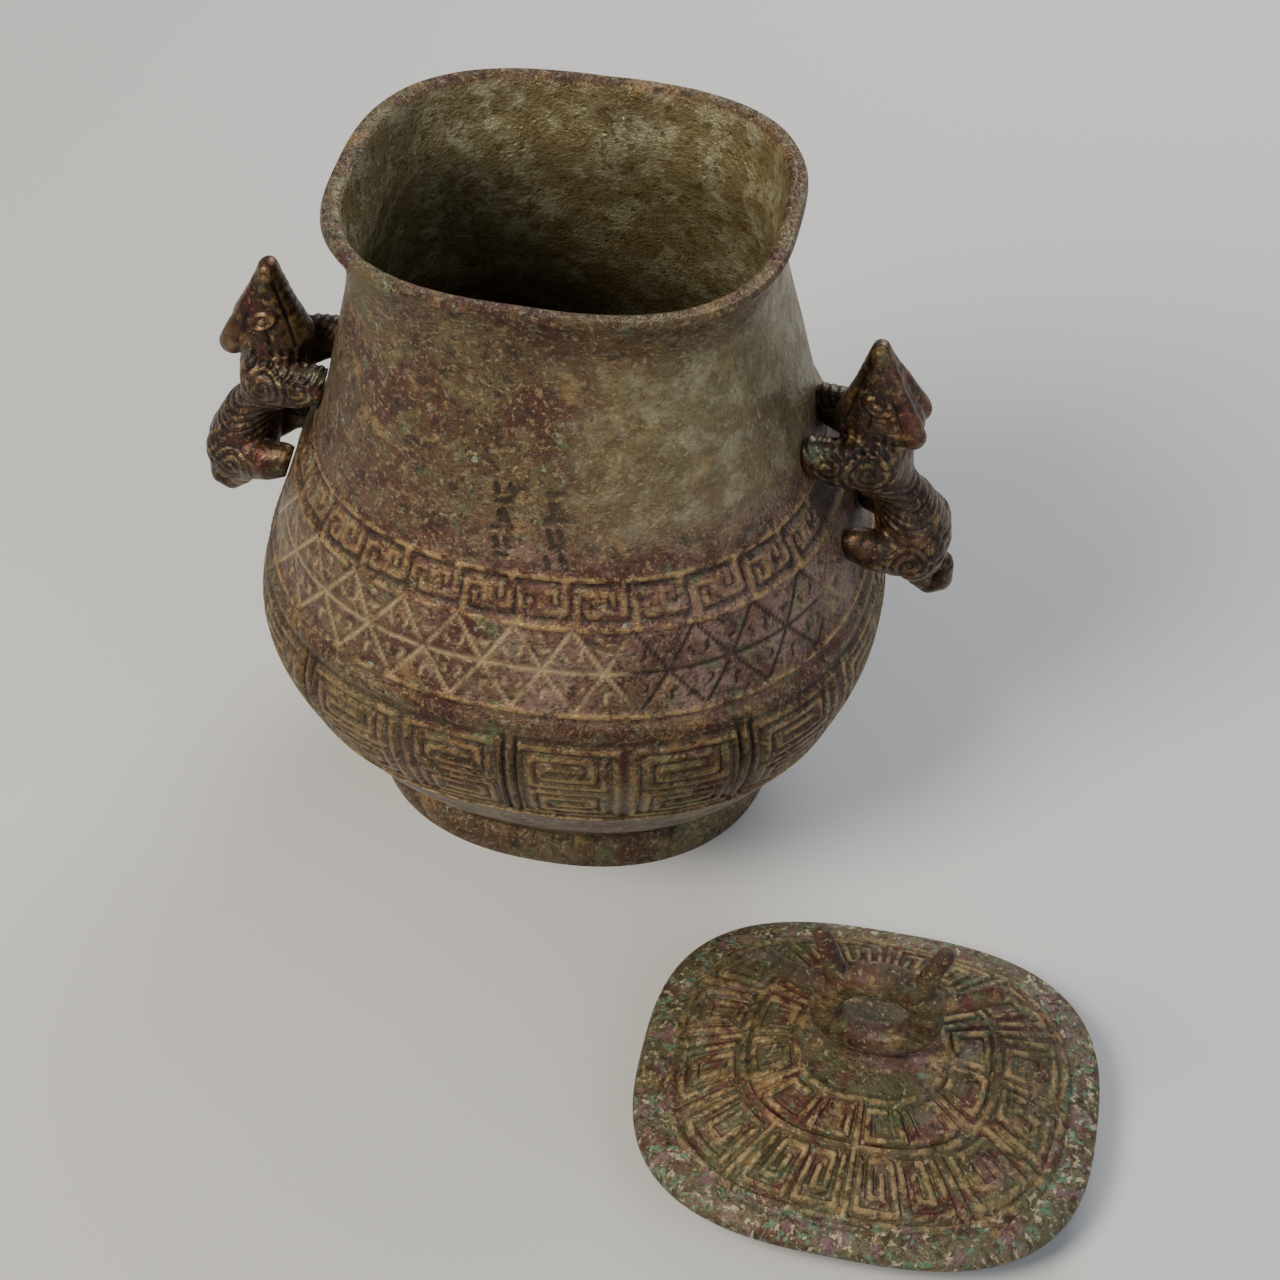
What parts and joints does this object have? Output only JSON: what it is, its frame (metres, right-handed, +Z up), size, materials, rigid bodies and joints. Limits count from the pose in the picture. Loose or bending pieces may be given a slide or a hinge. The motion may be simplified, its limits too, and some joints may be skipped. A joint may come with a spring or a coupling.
{
  "type": "lidded bronze jar",
  "caption": "Cast bronze jar with a rounded rectangular mouth, beast handles on its sides and a loose domed lid with a ring knob.",
  "frame": {"origin": "centre of the jar's flat underside", "axes": "+Z up through the mouth, +X across the handles, -Y out of the broad side that faces the viewer"},
  "size_m": [0.3928, 0.3547, 0.29],
  "materials": {
    "jar_bronze": "worn bronze patina",
    "beast_bronze": "dark polished bronze",
    "lid_bronze": "green bronze patina"
  },
  "bodies": {
    "root": {"jar": "jar_bronze", "beast_handle_right": "beast_bronze", "beast_handle_left": "beast_bronze", "lid": "lid_bronze"}
  },
  "joints": []
}
